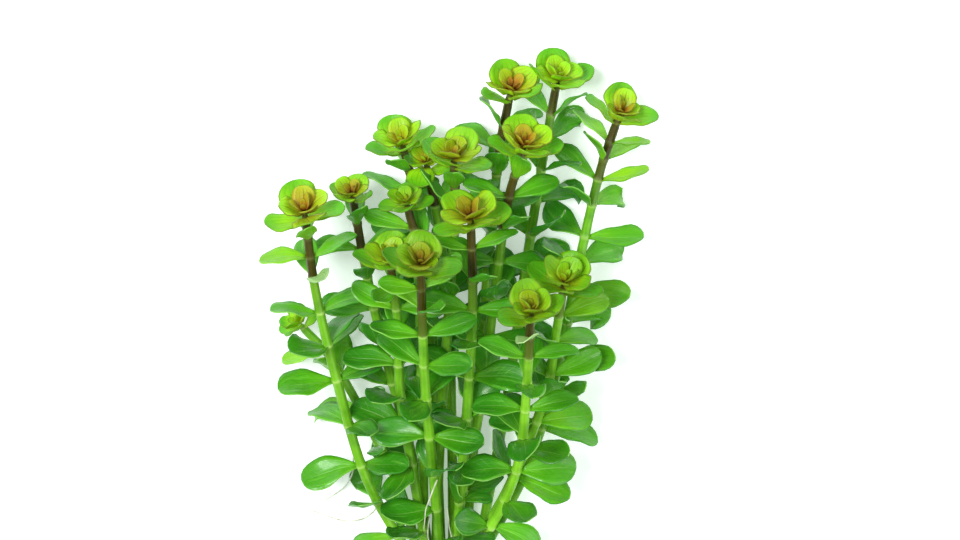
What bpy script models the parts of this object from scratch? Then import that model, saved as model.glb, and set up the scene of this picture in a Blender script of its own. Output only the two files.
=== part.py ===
"""A bunch of sixteen leafy aquarium stems, lying as cut: crowns toward +Y, cut ends toward -Y.

Each stem is a square shoot with crossed pairs of keeled leaves and a rosette at its tip. The lowest
stems and leaves lie along the surface at z = 0. A leaf that would run into another is turned, raised
or shortened until it is clear, and is left out where there is no room.
"""

import itertools
import math
import random

import bmesh
import bpy
from mathutils import Matrix, Vector
from mathutils.bvhtree import BVHTree

# Sizes are in millimetres, and each mesh is scaled to metres once, when it is made.
MM = 0.001
CENTRE = Vector((3.03, 43.41, 0.0))  # middle of the bunch's box, which becomes the origin

# The stems run together at the neck and are cut a little below it, in three layers.
STEM_RADIUS = 1.15
TIP_RADIUS = 0.95
CORNER = 1.25  # corner of the square solid, of the round stem's radius: the same area
NECK_Y = -15.0
CUT_Y = -22.0
SLOT_PITCH = 2.75
LAYER_RISE = 2.4
CUT_STEPS = (1.1, 0.6)  # how much lower every other stem of a layer, and each layer, is cut
TAPER_SPAN = 45.0  # a stem is full thick this far below its tip
BARE_RINGS = (20.0, 2.0, -8.0)  # heights of a bare stem's rings above the neck
SPAN_POINTS = 12  # of a stem's path, between two points of its route
CLEARANCE = 0.3
BED_GAP = 0.05  # between the lowest stems and the surface

# A leaf: widest at WIDEST of its length, with a round tip and a keel along its underside.
LEAF_LENGTH = 12.4
LEAF_WIDTH = (0.44, 0.6)  # of its length, high and low on a stem
LEAF_THICK = 0.55
MATURE = 34.0  # a leaf this far below the tip is full-grown
YOUNG = 0.81  # length of the highest leaf, of a full-grown one
LEAF_PITCH = (26.0, 10.0)  # rise of the highest and of a full-grown leaf from square to the stem
LENGTH_SPREAD = (0.93, 1.06)
WIDTH_SPREAD = (0.92, 1.1)
PITCH_SPREAD = 7.0
SKEW = 7.0  # how far a leaf may stand out of line with the other of its pair
LEAF_ARCH = (-26.0, 2.0)  # least and most bend along a leaf, where less than 0 droops
BAND = 1.0  # height of the stem that a leaf grows from
WIDEST = 0.58
PETIOLE = 0.16  # width at the stem, of the widest
FOOT_POWER = 1.25  # the higher, the longer a leaf's narrow foot
CUP = 0.16  # rise of a leaf's edges, of its half width
SPINE_STEPS = 24
SECTIONS = (6, 15, 23)  # spine steps where the solid has a section
BLUNT = 0.92  # the last section is as wide as the leaf is here, so that the tip is round
FRONT_LIFT = 26.0  # how far a leaf toward +Z rises, as its stem leans that way
FLATTEN = 4.0  # height over the surface below which a leaf turns flat
UPWARD = 0.05  # share of the way up its stem that a leaf takes where it meets the surface
FACE_UP = 0.3  # how far a leaf's face turns up from the surface, toward the light

# The rosette's pairs from the outside in: length, width of length, pitch, arch, height on the core.
ROSETTE = (
    (8.6, 0.7, 15, -4, 0.7),
    (7.8, 0.9, 36, 2, 1.8),
    (6.4, 0.9, 50, 6, 3.0),
)
BUD = ((1.3, 5.0), (0.7, 6.8))  # radius and height of the closed bud's rings on the core
PETAL_SPREAD = (0.95, 1.06)  # of a rosette leaf's length
PETAL_PITCH_SPREAD = 6.0
PETAL_SKEW = 9.0
CROWN_RISE = 17.0  # least angle of a rosette over the surface: it turns up toward the light
CORE_GAP = 0.5  # from the shoot's end to the rosette's core
CORE_TAPER = 0.4  # how much thinner the core is at its highest pair
CORE_BAND = 0.86  # height of the core that a leaf grows from

# What a leaf may change to stay clear, with how much each change is put off.
TURNS = ((0, 0.0), (16, 1.0), (-16, 1.0), (32, 2.2), (-32, 2.2))
RISES = ((0, 0.0), (14, 0.8), (-14, 0.8), (30, 1.8), (-28, 1.9), (46, 3.2))
SCALES = ((1.0, 0.0), (0.84, 1.5), (0.68, 3.4), (0.54, 4.4))

ROOT_RADIUS = 0.22
SATIN = 0.4  # roughness of leaves and stems
ROOT_ROUGHNESS = 0.5


def crossed(first_turn, drift, heights):
    """Leaf pairs at these heights, each a quarter turn on from the one above and a little more."""
    return tuple((y, first_turn + i * (90 + drift)) for i, y in enumerate(heights))


# Name: place in the neck (column, layer), crown size, turn and closing, route from the crown down,
# leaf pairs as (height, turn). Turn 0 is a pair to the left and right, and 90 a pair up and down:
# between them the right leaf is the lower one. The closing is how much steeper the outer pair is.
STEMS = {
    "01": dict(
        slot=(-2.5, 2), crown=(0.97, 20, 4),
        route=((-29.7, 76.4, 23.0), (-28.3, 60.0, 19.4), (-24.4, 37.0, 14.6), (-18.0, 9.0, 9.0)),
        pairs=((73.4, 100), (68.5, 12), (63.5, 104), (54.6, 28), (46.1, 68), (36.9, 12),
               (24.8, -52), (13.9, 4), (4.1, 88), (-5.0, 10)),
    ),
    "02": dict(
        slot=(2.5, 1), crown=(0.96, 8, 14),
        route=((37.1, 94.5, 9.8), (34.0, 84.0, 9.4), (30.4, 66.0, 8.6), (24.4, 33.0, 7.0),
               (17.8, 9.0, 5.2)),
        pairs=((91.0, -42), (87.0, 48), (82.4, -20), (76.4, 50), (68.9, -16), (62.4, 44),
               (55.6, -30), (48.0, 52), (40.0, -20), (31.0, 80), (21.5, -4)),
    ),
    "03": dict(
        slot=(1.5, 2), crown=(0.94, 24, 18),
        route=((18.4, 58.6, 35.0), (18.1, 45.0, 28.9), (16.7, 20.0, 18.0), (12.6, 4.0, 11.4)),
        pairs=((54.8, 88), (49.0, 2), (41.6, 92), (33.8, 2), (25.5, 90), (15.4, 4), (6.4, -70),
               (-1.6, 24)),
    ),
    "04": dict(
        slot=(0.5, 2), crown=(1.04, 32, 0),
        route=((5.8, 76.2, 27.0), (6.1, 58.0, 22.4), (5.0, 33.0, 16.0), (3.0, 4.0, 9.4)),
        pairs=((72.2, 12), (64.1, 110), (56.4, -8), (48.6, 86), (38.8, -12), (27.6, 46), (15.9, -58),
               (4.5, 30), (-4.6, -60)),
    ),
    "05": dict(
        slot=(-0.5, 2), crown=(0.98, -14, 14),
        route=((-4.8, 69.0, 35.0), (-4.7, 55.0, 29.6), (-4.2, 35.0, 22.2), (-2.7, 10.0, 12.8)),
        pairs=((66.0, 30), (60.1, 118), (53.4, 6), (45.2, -30), (35.6, 70), (24.6, -12), (13.7, -60),
               (3.4, 24), (-6.0, -66)),
    ),
    "06": dict(
        slot=(-1.5, 2), crown=(0.9, -5, 8),
        route=((-11.6, 65.0, 21.0), (-10.4, 51.0, 17.6), (-10.2, 33.0, 14.0), (-7.4, 10.0, 9.4)),
        pairs=(*crossed(84, -3, (61.0, 55.6, 48.8, 41.0, 32.6, 23.6, 14.2)), (-3.6, 60)),
    ),
    "07": dict(
        slot=(1.5, 1), crown=(1.06, -28, 8),
        route=((25.6, 59.3, 21.0), (24.5, 50.0, 18.6), (22.3, 33.0, 14.6), (14.6, 9.0, 9.6)),
        pairs=((54.2, 14), (46.7, 66), (38.7, 9), (32.4, 87), (26.2, 12), (18.6, 92), (11.0, -14)),
    ),
    "08": dict(
        slot=(0.0, 1), crown=(0.98, 20, 8),
        route=((16.3, 89.8, 19.0), (13.6, 79.0, 17.0), (11.0, 58.0, 14.0), (7.2, 25.0, 9.2)),
        pairs=((86.0, 94), (81.0, 20), (73.5, 110), (65.2, 9), (56.0, 90), (46.4, 4), (36.8, 92),
               (27.0, -8), (6.6, -6)),
    ),
    "09": dict(
        slot=(-1.0, 1), crown=(0.98, -30, 10),
        route=((2.1, 86.6, 17.0), (2.3, 76.0, 15.6), (0.6, 50.0, 12.4), (-1.4, 20.0, 8.2)),
        pairs=crossed(92, -2, (83.0, 78.0, 72.0, 64.6, 56.4, 47.6, 38.4)),
    ),
    "10": dict(
        slot=(-2.0, 1), crown=(0.7, -10, 4),
        route=((-7.8, 76.6, 15.0), (-6.2, 68.0, 14.2), (-5.6, 45.0, 11.6), (-5.4, 15.0, 7.2)),
        pairs=crossed(-20, -4, (72.8, 67.6, 61.4, 54.0, 45.6, 36.4, 26.8)),
    ),
    "11": dict(
        slot=(1.5, 0), crown=(1.0, 45, 14),
        route=((13.8, 99.0, 8.0), (11.9, 88.0, 7.6), (9.6, 62.0, 6.4), (7.0, 26.0, 4.2)),
        pairs=((94.2, 36), (88.8, -28), (83.0, 80), (76.4, 0), (68.4, 90), (58.8, 0),
               (48.0, 90)),
    ),
    "12": dict(
        slot=(2.5, 0), crown=(0.98, 22, 12),
        route=((24.0, 101.4, 7.4), (21.8, 88.0, 7.2), (18.4, 64.0, 6.2), (13.6, 26.0, 4.0)),
        pairs=((96.6, -45), (91.0, 42), (84.0, -50), (76.4, 34), (68.4, -42), (60.0, 50),
               (50.6, -36)),
    ),
    "13": dict(
        slot=(-0.5, 0), crown=(0.96, 16, 10),
        route=((-8.7, 87.2, 8.0), (-6.8, 78.0, 7.6), (-4.6, 56.0, 6.2), (-2.6, 22.0, 3.8)),
        pairs=crossed(88, -2, (84.0, 79.2, 73.6, 66.8, 58.8, 49.8, 39.8)),
    ),
    "14": dict(
        slot=(0.5, 0), crown=(0.86, -20, 10),
        route=((-3.6, 83.6, 9.6), (-2.0, 74.0, 8.4), (0.4, 55.0, 6.6), (1.2, 22.0, 3.8)),
        pairs=crossed(0, -3, (76.0, 69.0, 60.6, 51.4)),
    ),
    "15": dict(
        slot=(-1.5, 0), crown=(0.66, -30, 20),
        route=((-20.0, 77.2, 11.0), (-18.0, 63.0, 9.4), (-14.2, 42.0, 7.0), (-7.4, 10.0, 3.2)),
        pairs=crossed(100, -4, (72.6, 66.4, 59.4, 51.6, 42.6, 32.6, 20.0, 9.0)),
    ),
    "16": dict(
        slot=(-2.5, 0), crown=(0.6, -10, 6),
        route=((-31.6, 46.8, 9.0), (-26.4, 40.0, 8.0), (-19.6, 26.0, 5.8), (-10.8, 4.0, 2.6)),
        pairs=crossed(-8, -4, (42.0, 35.4, 27.0, 17.0)),
    ),
}

# Roots, each from beside a low leaf pair down to the surface: points by hand.
ROOTS = {
    "root_1": ((-21.4, 15.0, 8.4), (-21.6, 10.0, 5.0), (-23.6, 5.0, 1.8), (-27.0, 1.6, 0.6),
               (-31.0, -0.6, 0.3)),
    "root_2": ((-15.6, 2.6, 6.0), (-17.4, -1.4, 3.0), (-20.6, -4.2, 1.0), (-25.0, -4.6, 0.4),
               (-30.6, -2.6, 0.3), (-35.0, -1.4, 0.3)),
    "root_3": ((-2.0, 12.6, 15.1), (-3.6, 8.8, 16.2), (-4.8, 4.6, 16.4), (-5.0, 0.0, 15.6)),
    "root_4": ((0.2, 3.4, 11.0), (0.5, -0.4, 10.4), (1.0, -4.6, 9.4), (0.8, -8.4, 8.5)),
    "root_5": ((-3.9, 1.8, 11.9), (-4.3, -2.4, 11.9), (-3.5, -6.6, 11.0), (-1.9, -10.4, 9.8)),
}

SHOOT_COLOUR = (0.115, 0.36, 0.03, 1.0)
CROWN_COLOUR = (0.42, 0.52, 0.05, 1.0)
ROOT_COLOUR = (0.86, 0.87, 0.78, 1.0)


class Path:
    """A smooth curve through the route, the neck and the cut end, read by its height along +Y."""

    def __init__(self, route, slot):
        column, layer = slot
        neck = Vector((column * SLOT_PITCH, NECK_Y, STEM_RADIUS + BED_GAP + layer * LAYER_RISE))
        cut = CUT_Y - CUT_STEPS[0] * (column % 1.0) - CUT_STEPS[1] * layer
        end = Vector((neck.x, cut, neck.z))
        knots = [Vector(p) for p in route] + [neck, end]
        knots = [2 * knots[0] - knots[1]] + knots + [2 * knots[-1] - knots[-2]]
        self.end = end.y
        self.points = []
        for a, b, c, d in zip(knots, knots[1:], knots[2:], knots[3:]):
            for i in range(SPAN_POINTS):
                t = i / SPAN_POINTS
                self.points.append(
                    0.5 * (2 * b + (c - a) * t + (2 * a - 5 * b + 4 * c - d) * t * t
                           + (3 * b - a - 3 * c + d) * t ** 3)
                )
        self.points.append(end)

    def at(self, height):
        """The place and the direction toward the crown at this height."""
        below = [i for i, p in enumerate(self.points) if p.y < height]
        i = min(max(below[0], 1), len(self.points) - 1) if below else len(self.points) - 1
        a, b = self.points[i - 1], self.points[i]
        return a.lerp(b, (a.y - height) / (a.y - b.y)), (a - b).normalized()


class Solid:
    """Points and faces that grow one ring or one leaf at a time."""

    def __init__(self):
        self.points, self.faces = [], []

    def add(self, points):
        first = len(self.points)
        self.points.extend(points)
        return list(range(first, len(self.points)))

    def add_sides(self, sides):
        """Adds each four-cornered side as two triangles, so that a bent one has one shape only."""
        for a, b, c, d in sides:
            self.faces += [(a, b, c), (a, c, d)]

    def tree(self):
        return BVHTree.FromPolygons(self.points, self.faces)


def across(tangent, turn):
    """The direction at this turn round a stem: 0 is to the right and 90 is down to the surface."""
    right = (Vector((1, 0, 0)) - tangent * tangent.x).normalized()
    return Matrix.Rotation(math.radians(turn), 3, tangent) @ right


def half_width(f):
    """A leaf's half width at this share of its length, of the widest: a narrow foot, a round tip."""
    if f < WIDEST:
        return PETIOLE + (1 - PETIOLE) * math.sin(f / WIDEST * math.pi / 2) ** FOOT_POWER
    return math.sqrt(max(0.0, 1 - ((f - WIDEST) / (1 - WIDEST)) ** 2))


def leaf_spine(foot, out, up, length, pitch, arch, face_up):
    """Frames along a leaf as (centre, side, normal). It bends flat where it meets the surface."""
    side = up.cross(out)
    centre = foot.copy()
    frames = []
    step = length / SPINE_STEPS
    for i in range(SPINE_STEPS + 1):
        angle = math.radians(pitch + arch * i / SPINE_STEPS)
        ahead = out * math.cos(angle) + up * math.sin(angle)
        if centre.z + ahead.z * step < LEAF_THICK:
            ahead = Vector((ahead.x, ahead.y, 0)) + UPWARD * up
            ahead.z = 0
            ahead.normalize()
        flat = min(1.0, max(0.0, 1 - (centre.z - LEAF_THICK) / FLATTEN))
        normal = ahead.cross(side).lerp(Vector((0, 0, 1)), max(flat * flat, face_up))
        across_leaf = normal.cross(ahead).normalized()
        frames.append((centre.copy(), across_leaf, ahead.cross(across_leaf).normalized()))
        centre = centre + ahead * step
    return frames


def leaf_rings(frames, width, grow=0.0, raised=0.0):
    """The solid's sections along a leaf: left edge, right edge and keel."""
    rings = []
    for i in SECTIONS:
        centre, side, normal = frames[i]
        half = width / 2 * half_width(min(i / SPINE_STEPS, BLUNT)) + grow
        edge = normal * (CUP * half + raised)
        ring = [centre - side * half + edge, centre + side * half + edge,
                centre - normal * (LEAF_THICK + grow)]
        lift = max(0.0, -min(p.z for p in ring)) if not grow else 0.0
        rings.append([p + Vector((0, 0, lift)) for p in ring])
    if grow:
        ahead = (frames[-1][0] - frames[-2][0]).normalized()
        rings[-1] = [p + ahead * grow for p in rings[-1]]
    return rings


def skin(solid, foot, rings):
    """Joins a leaf's rings to the four corners that it grows from, and closes its tip."""
    upper_left, upper_right, lower_right, lower_left = foot
    left, right, keel = solid.add(rings[0])
    solid.faces.append((lower_right, lower_left, keel))
    solid.add_sides([(upper_left, upper_right, right, left), (upper_right, lower_right, keel, right),
                     (lower_left, upper_left, left, keel)])
    for ring in rings[1:]:
        a, b, c = solid.add(ring)
        solid.add_sides([(left, right, b, a), (right, keel, c, b), (keel, left, a, c)])
        left, right, keel = a, b, c
    solid.faces.append((left, right, keel))


def loose_leaf(rings, foot):
    """A leaf on its own, from its foot's four corners, to test for clashes."""
    solid = Solid()
    skin(solid, solid.add(foot), rings)
    return solid


def loose_blade(rings):
    """The part of a leaf past its first section, to test against its own stem too."""
    solid = Solid()
    first = solid.add(rings[0])
    solid.faces.append(tuple(first))
    for ring in rings[1:]:
        last = solid.add(ring)
        solid.add_sides([(first[k], first[k - 1], last[k - 1], last[k]) for k in range(3)])
        first = last
    solid.faces.append(tuple(first))
    return solid


class Crowd:
    """Everything placed so far, to keep a new leaf clear of."""

    def __init__(self):
        self.items = []

    def add(self, solid, owner):
        low = [min(p[k] for p in solid.points) for k in range(3)]
        high = [max(p[k] for p in solid.points) for k in range(3)]
        self.items.append((low, high, solid.tree(), owner))

    def blocks(self, solid, skip=None):
        low = [min(p[k] for p in solid.points) for k in range(3)]
        high = [max(p[k] for p in solid.points) for k in range(3)]
        tree = None
        for other_low, other_high, other, owner in self.items:
            if owner == skip or any(
                low[k] > other_high[k] or high[k] < other_low[k] for k in range(3)
            ):
                continue
            tree = tree or solid.tree()
            if tree.overlap(other):
                return True
        return False


def changes():
    """Each mix of turn, rise and scale that a leaf may take, the smallest change first."""
    mixes = itertools.product(TURNS, RISES, SCALES)
    return sorted(((sum(c[1] for c in mix), mix) for mix in mixes), key=lambda m: m[0])


CHANGES = [[value for value, _ in mix] for _, mix in changes()]


def fit_leaf(crowd, corners, out, up, shape, own):
    """The first change of this leaf that is clear of the crowd, as its rings, or None."""
    length, width, pitch, arch, face_up, skew = shape
    foot = sum(corners, Vector()) / 4
    for turn, rise, scale in CHANGES:
        turned = Matrix.Rotation(math.radians(turn + skew), 3, up) @ out
        frames = leaf_spine(foot, turned, up, length * scale, pitch + rise, arch, face_up)
        grown = [leaf_rings(frames, width * scale, CLEARANCE, raised)
                 for raised in (CLEARANCE, -CLEARANCE)]
        if any(crowd.blocks(loose_blade(rings)) or crowd.blocks(loose_leaf(rings, corners), own)
               for rings in grown):
            continue
        rings = leaf_rings(frames, width * scale)
        crowd.add(loose_leaf(rings, corners), own)
        return rings
    return None


def ring_at(centre, tangent, turn, radius):
    """Four corners round a stem, with flat sides facing this turn and the quarter turns from it."""
    return [centre + radius * CORNER * across(tangent, turn + 90 * k - 45) for k in range(4)]


def follow(turn, last):
    """The quarter turn of this pair that twists the stem least."""
    return turn + 90 * round((last - turn) / 90)


def radius_at(height, top):
    return STEM_RADIUS + (TIP_RADIUS - STEM_RADIUS) * max(0.0, 1 - (top - height) / TAPER_SPAN)


def stem_rings(name):
    """The shoot's rings from the top down as (points, turn), with the bands that bear leaves."""
    data = STEMS[name]
    path = Path(data["route"], data["slot"])
    top = data["route"][0][1]
    rings, bands = [], []
    last = follow(data["pairs"][0][1], 0)
    place, tangent = path.at(top)
    rings.append(ring_at(place, tangent, last, radius_at(top, top)))
    for height, turn in data["pairs"]:
        middle, tangent = path.at(height)
        last = follow(turn, last)
        bands.append((len(rings), middle, tangent, turn, round((turn - last) / 90) % 4))
        for shift in (BAND / 2, -BAND / 2):
            place = middle + tangent * shift
            rings.append(ring_at(place, tangent, last, radius_at(height, top)))
    lowest = data["pairs"][-1][0]
    for height in (*BARE_RINGS, NECK_Y, path.end):
        if height < lowest - 4 * BAND:
            place, tangent = path.at(height)
            rings.append(ring_at(place, tangent, follow(0, last), radius_at(height, top)))
            last = follow(0, last)
    return rings, bands


def tube(rings):
    """A closed four-sided tube through the rings, from the first down."""
    solid = Solid()
    for ring in rings:
        ids = solid.add(ring)
        if ids[0]:
            above = [i - 4 for i in ids]
            solid.add_sides([(above[k], ids[k], ids[k - 3], above[k - 3]) for k in range(4)])
    solid.faces += [(3, 2, 1, 0), tuple(ids)]
    return solid


def shoot_shapes(name, index):
    """A pair's leaves as (length, width, pitch, arch, face_up, skew): long and level low down."""
    top, height = STEMS[name]["route"][0][1], STEMS[name]["pairs"][index][0]
    age = min(1.0, (top - height) / MATURE)
    shapes = []
    for side in range(2):
        rng = random.Random(f"shoot {name} {index} {side}")
        length = LEAF_LENGTH * (YOUNG + (1 - YOUNG) * age) * rng.uniform(*LENGTH_SPREAD)
        wide = LEAF_WIDTH[0] + (LEAF_WIDTH[1] - LEAF_WIDTH[0]) * age
        width = length * wide * rng.uniform(*WIDTH_SPREAD)
        pitch = LEAF_PITCH[0] + (LEAF_PITCH[1] - LEAF_PITCH[0]) * age
        pitch += rng.uniform(-PITCH_SPREAD, PITCH_SPREAD)
        arch, skew = rng.uniform(*LEAF_ARCH), rng.uniform(-SKEW, SKEW)
        shapes.append((length, width, pitch, arch, FACE_UP, skew))
    return shapes


def grow_pair(solid, crowd, band, shapes, own):
    """Grows a pair from opposite sides of a band, and closes the side of a leaf left out."""
    start, middle, tangent, turn, quarter = band
    grown = 0
    for k in range(4):
        n = (k + 1) % 4
        upper, lower = 4 * start, 4 * start + 4
        ids = (upper + k, upper + n, lower + n, lower + k)
        side = (k - quarter) % 4
        rings = None
        if side in (0, 2):
            out = across(tangent, turn + 90 * side)
            corners = [solid.points[i] for i in ids]
            length, width, pitch, arch, face_up, skew = shapes[side // 2]
            pitch += face_up / FACE_UP * FRONT_LIFT * max(0.0, out.z)
            shape = length, width, pitch, arch, face_up, skew
            rings = fit_leaf(crowd, corners, out, tangent, shape, own)
        if rings:
            skin(solid, ids, rings)
            grown += 1
        else:
            solid.add_sides([ids[::-1]])
    return grown


def bare(solid, bands):
    """Takes the four sides of each band out of a tube, for its leaves to grow there."""
    spans = [range(4 * band[0], 4 * band[0] + 8) for band in bands]
    solid.faces = [
        face for face in solid.faces
        if len(face) == 4 or not any(all(i in span for i in face) for span in spans)
    ]


def plain_finish(name, colour, roughness):
    """A material of one colour."""
    material = bpy.data.materials.new(name)
    material.use_nodes = True
    principled = material.node_tree.nodes["Principled BSDF"]
    principled.inputs["Base Color"].default_value = colour
    principled.inputs["Roughness"].default_value = roughness
    return material


def finish(name, solid, colour):
    """An object from this solid, in metres about the origin, with its own material."""
    mesh = bpy.data.meshes.new(name)
    mesh.from_pydata([(p - CENTRE) * MM for p in solid.points], [], solid.faces)
    shape = bmesh.new()
    shape.from_mesh(mesh)
    bmesh.ops.recalc_face_normals(shape, faces=shape.faces)
    shape.to_mesh(mesh)
    shape.free()
    mesh.materials.append(plain_finish(name, colour, SATIN))
    bpy.context.scene.collection.objects.link(bpy.data.objects.new(name, mesh))


def crown_core(name):
    """The rosette's tapering core above the shoot, from the top down, as rings and bands."""
    data = STEMS[name]
    size, turn, _ = data["crown"]
    base, along_stem = Path(data["route"], data["slot"]).at(data["route"][0][1])
    base = base + along_stem * CORE_GAP
    hinge = along_stem.cross(Vector((0, 0, 1)))
    lift = max(0.0, math.radians(CROWN_RISE) - math.asin(along_stem.z))
    tangent = Matrix.Rotation(lift, 3, hinge) @ along_stem
    rings, bands = [], []
    for radius, height in reversed(BUD):
        rings.append(ring_at(base + tangent * height * size, tangent, turn, radius * size))
    for i, row in reversed(list(enumerate(ROSETTE))):
        middle = base + tangent * row[4] * size
        radius = TIP_RADIUS * (1 - CORE_TAPER * row[4] / ROSETTE[-1][4])
        bands.append((len(rings), middle, tangent, turn + 90 * i, i % 4))
        for shift in (CORE_BAND / 2, -CORE_BAND / 2):
            rings.append(ring_at(middle + tangent * shift * size, tangent, turn, radius))
    rings.append(ring_at(base, tangent, turn, TIP_RADIUS))
    return rings, bands


def rosette_shapes(name, row):
    """The two leaves of one of the rosette's pairs, as for a shoot."""
    length, wide, pitch, arch, _ = ROSETTE[row]
    size, _, closing = STEMS[name]["crown"]
    pitch += closing * (1 - row / len(ROSETTE))
    shapes = []
    for side in range(2):
        rng = random.Random(f"crown {name} {row} {side}")
        long = length * size * rng.uniform(*PETAL_SPREAD)
        rise = pitch + rng.uniform(-PETAL_PITCH_SPREAD, PETAL_PITCH_SPREAD)
        shapes.append((long, long * wide, rise, arch, 0.0, rng.uniform(-PETAL_SKEW, PETAL_SKEW)))
    return shapes


def make_root(name, points):
    """A thin root as a bevelled curve through its points."""
    curve = bpy.data.curves.new(name, "CURVE")
    curve.dimensions = "3D"
    curve.bevel_depth = ROOT_RADIUS * MM
    curve.bevel_resolution = 0
    curve.use_fill_caps = True
    spline = curve.splines.new("POLY")
    knots = [Vector(p) for p in points]
    knots = [2 * knots[0] - knots[1]] + knots + [2 * knots[-1] - knots[-2]]
    smooth = []
    for a, b, c, d in zip(knots, knots[1:], knots[2:], knots[3:]):
        for t in (0.0, 1 / 3, 2 / 3):
            smooth.append(0.5 * (2 * b + (c - a) * t + (2 * a - 5 * b + 4 * c - d) * t * t
                                 + (3 * b - a - 3 * c + d) * t ** 3))
    smooth.append(knots[-2])
    spline.points.add(len(smooth) - 1)
    for point, place in zip(spline.points, smooth):
        point.co = ((place - CENTRE) * MM).to_4d()
    curve.materials.append(plain_finish(name, ROOT_COLOUR, ROOT_ROUGHNESS))
    bpy.context.scene.collection.objects.link(bpy.data.objects.new(name, curve))


def main():
    for old in list(bpy.data.objects):
        bpy.data.objects.remove(old, do_unlink=True)
    crowd = Crowd()
    crowns, shoots = {}, {}
    for kind, made, frame in (("shoot_", shoots, stem_rings), ("crown_", crowns, crown_core)):
        for name in STEMS:
            rings, bands = frame(name)
            made[name] = tube(rings), bands
            crowd.add(made[name][0], kind + name)
            bare(*made[name])
    leaves = 0
    for name, (crown, bands) in crowns.items():
        for row, band in enumerate(reversed(bands)):
            leaves += grow_pair(crown, crowd, band, rosette_shapes(name, row), "crown_" + name)
        finish("crown_" + name, crown, CROWN_COLOUR)
    for name, (shoot, bands) in shoots.items():
        for index, band in enumerate(bands):
            leaves += grow_pair(shoot, crowd, band, shoot_shapes(name, index), "shoot_" + name)
        finish("shoot_" + name, shoot, SHOOT_COLOUR)
    for name, points in ROOTS.items():
        make_root(name, points)
    wanted = sum(2 * len(data["pairs"]) + 2 * len(ROSETTE) for data in STEMS.values())
    print(f"{leaves} leaves of {wanted}")


main()
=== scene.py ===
import itertools
import math
import random

import bpy
from mathutils import Matrix, Vector
from mathutils.kdtree import KDTree


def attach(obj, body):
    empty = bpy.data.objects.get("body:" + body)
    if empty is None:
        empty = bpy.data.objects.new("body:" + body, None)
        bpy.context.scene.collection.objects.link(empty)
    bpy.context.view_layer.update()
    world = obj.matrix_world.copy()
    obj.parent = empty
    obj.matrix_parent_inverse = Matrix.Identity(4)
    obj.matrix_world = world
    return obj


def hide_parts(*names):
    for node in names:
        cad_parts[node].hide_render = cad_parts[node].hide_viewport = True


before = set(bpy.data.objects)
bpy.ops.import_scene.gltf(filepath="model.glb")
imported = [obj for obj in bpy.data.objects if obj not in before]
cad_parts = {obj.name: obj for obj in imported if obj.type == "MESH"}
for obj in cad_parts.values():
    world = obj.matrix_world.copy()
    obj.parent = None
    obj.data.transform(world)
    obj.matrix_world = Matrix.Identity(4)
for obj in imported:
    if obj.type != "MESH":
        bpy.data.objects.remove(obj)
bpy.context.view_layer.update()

# The layout is in millimetres, and toModel takes a point of it into the model's frame.
mm = 0.001
middle = Vector((3.03, 43.41, 0.0))


def toModel(place):
    return (place - middle) * mm


# The camera has the photo's angle: it looks down on the bunch from a little past its crowns.
cameraPlan = {
    "lookAt": (7.7, 63.2, 15.0),
    "tilt": 20.0,        # degrees from straight down, toward the crowns
    "distance": 0.55,    # metres
    "nearest": 0.01,     # metres
    "lens": 93.75,
    "sensor": 36.0,
}


def makeCamera(plan):
    tilt = math.radians(plan["tilt"])
    back = Vector((0, math.sin(tilt), math.cos(tilt)))
    up = Vector((0, math.cos(tilt), -math.sin(tilt)))
    place = toModel(Vector(plan["lookAt"])) + back * plan["distance"]
    data = bpy.data.cameras.new("camera")
    data.lens, data.sensor_width, data.clip_start = plan["lens"], plan["sensor"], plan["nearest"]
    camera = bpy.data.objects.new("camera", data)
    bpy.context.scene.collection.objects.link(camera)
    camera.matrix_world = Matrix((
        (1, up.x, back.x, place.x), (0, up.y, back.y, place.y),
        (0, up.z, back.z, place.z), (0, 0, 0, 1)))
    bpy.context.scene.camera = camera


makeCamera(cameraPlan)
bpy.context.scene.view_settings.view_transform = "Standard"
print("camera is in place")

# The layout of the bunch, as its solids have it.
neck = {
    "height": -15.0, "cut": -22.0, "pitch": 2.75, "layerRise": 2.4, "cutSteps": (1.1, 0.6),
    "stemRadius": 1.15, "tipRadius": 0.95, "corner": 1.25, "taperSpan": 45.0,
    "clear": 0.05, "lineSteps": 12,  # gap to the surface, and points for each part of a route
}
leafPlan = {
    "length": 12.4, "width": (0.44, 0.6), "mature": 34.0, "young": 0.81, "pitch": (26.0, 10.0),
    "lengthSpread": (0.93, 1.06), "widthSpread": (0.92, 1.1), "pitchSpread": 7.0, "skew": 7.0,
    "arch": (-26.0, 2.0), "faceUp": 0.3, "frontLift": 26.0,
}
leafSolid = {
    "steps": 24, "sections": (6, 15, 23), "widest": 0.58, "petiole": 0.16, "foot": 1.25, "cup": 0.16,
    "thick": 0.55, "blunt": 0.92, "flatten": 4.0, "lean": 0.05,
    "match": 0.03,  # how near (mm) a corner of the solid has to be
}
rosette = {
    # length, width of length, pitch, arch, height on the core, from the outside in
    "rows": ((8.6, 0.7, 15, -4, 0.7), (7.8, 0.9, 36, 2, 1.8), (6.4, 0.9, 50, 6, 3.0)),
    "spread": (0.95, 1.06), "pitchSpread": 6.0, "skew": 9.0, "gap": 0.5, "taper": 0.4, "rise": 17.0,
    # fine petals: width of the solid's, youth, and degrees that those toward the light open further
    "fuller": (1.08, 1.18, 1.16), "youth": (0.54, 0.64, 0.76), "frontOpening": 26.0,
}
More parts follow.
